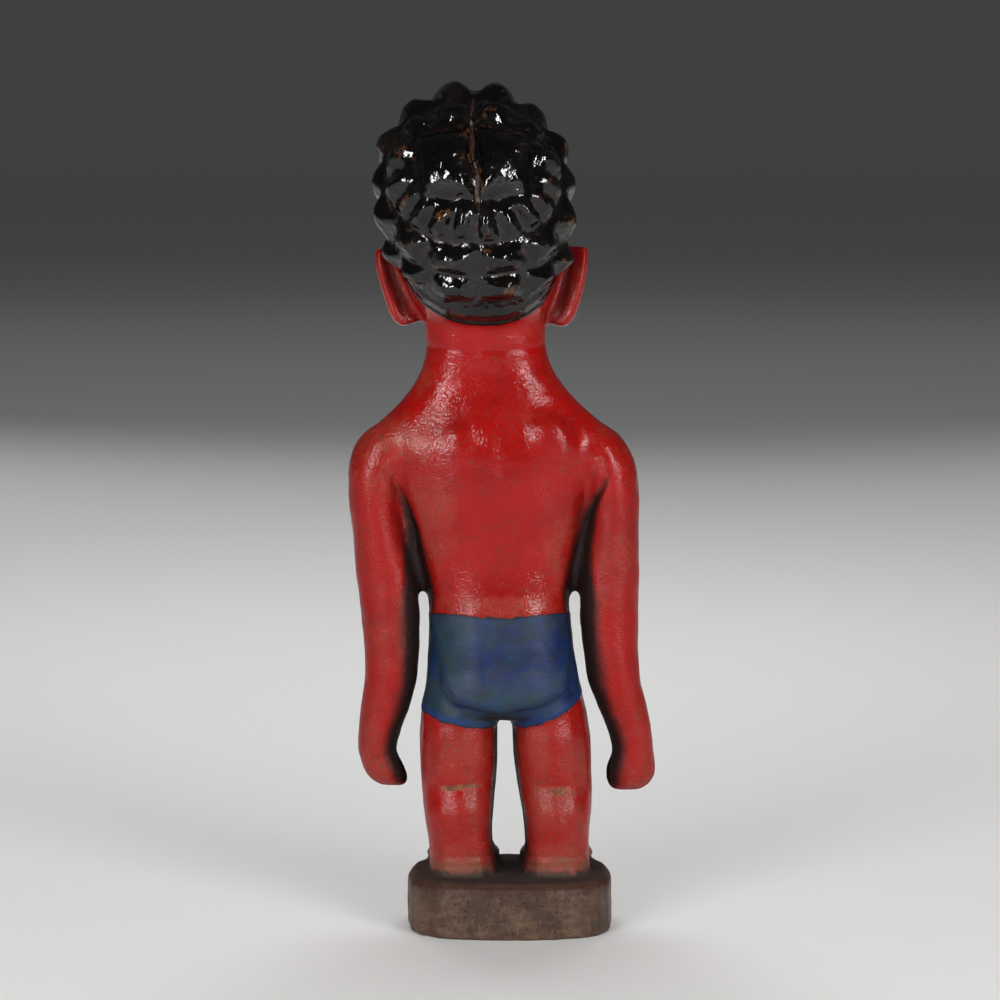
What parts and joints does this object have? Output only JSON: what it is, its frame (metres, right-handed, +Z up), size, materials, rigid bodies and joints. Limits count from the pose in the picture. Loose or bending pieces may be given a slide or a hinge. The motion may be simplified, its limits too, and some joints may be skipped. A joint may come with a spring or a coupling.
{
  "type": "spirit spouse figure",
  "caption": "Standing carved wooden figure in short trunks, with knobbed hair and hanging arms, one piece with its low oval plinth; painted red, blue and black.",
  "frame": {"origin": "centre of the plinth's underside", "axes": "+Z up from the plinth to the head; the figure faces -Y, so its back is on +Y and its own left hand on +X"},
  "size_m": [0.1371, 0.0914, 0.3749],
  "materials": {
    "painted_wood": "worn glossy enamel on carved wood: red body, black hair, blue trunks, brown stained plinth"
  },
  "bodies": {
    "root": {"carved_figure": "painted_wood"}
  },
  "joints": []
}
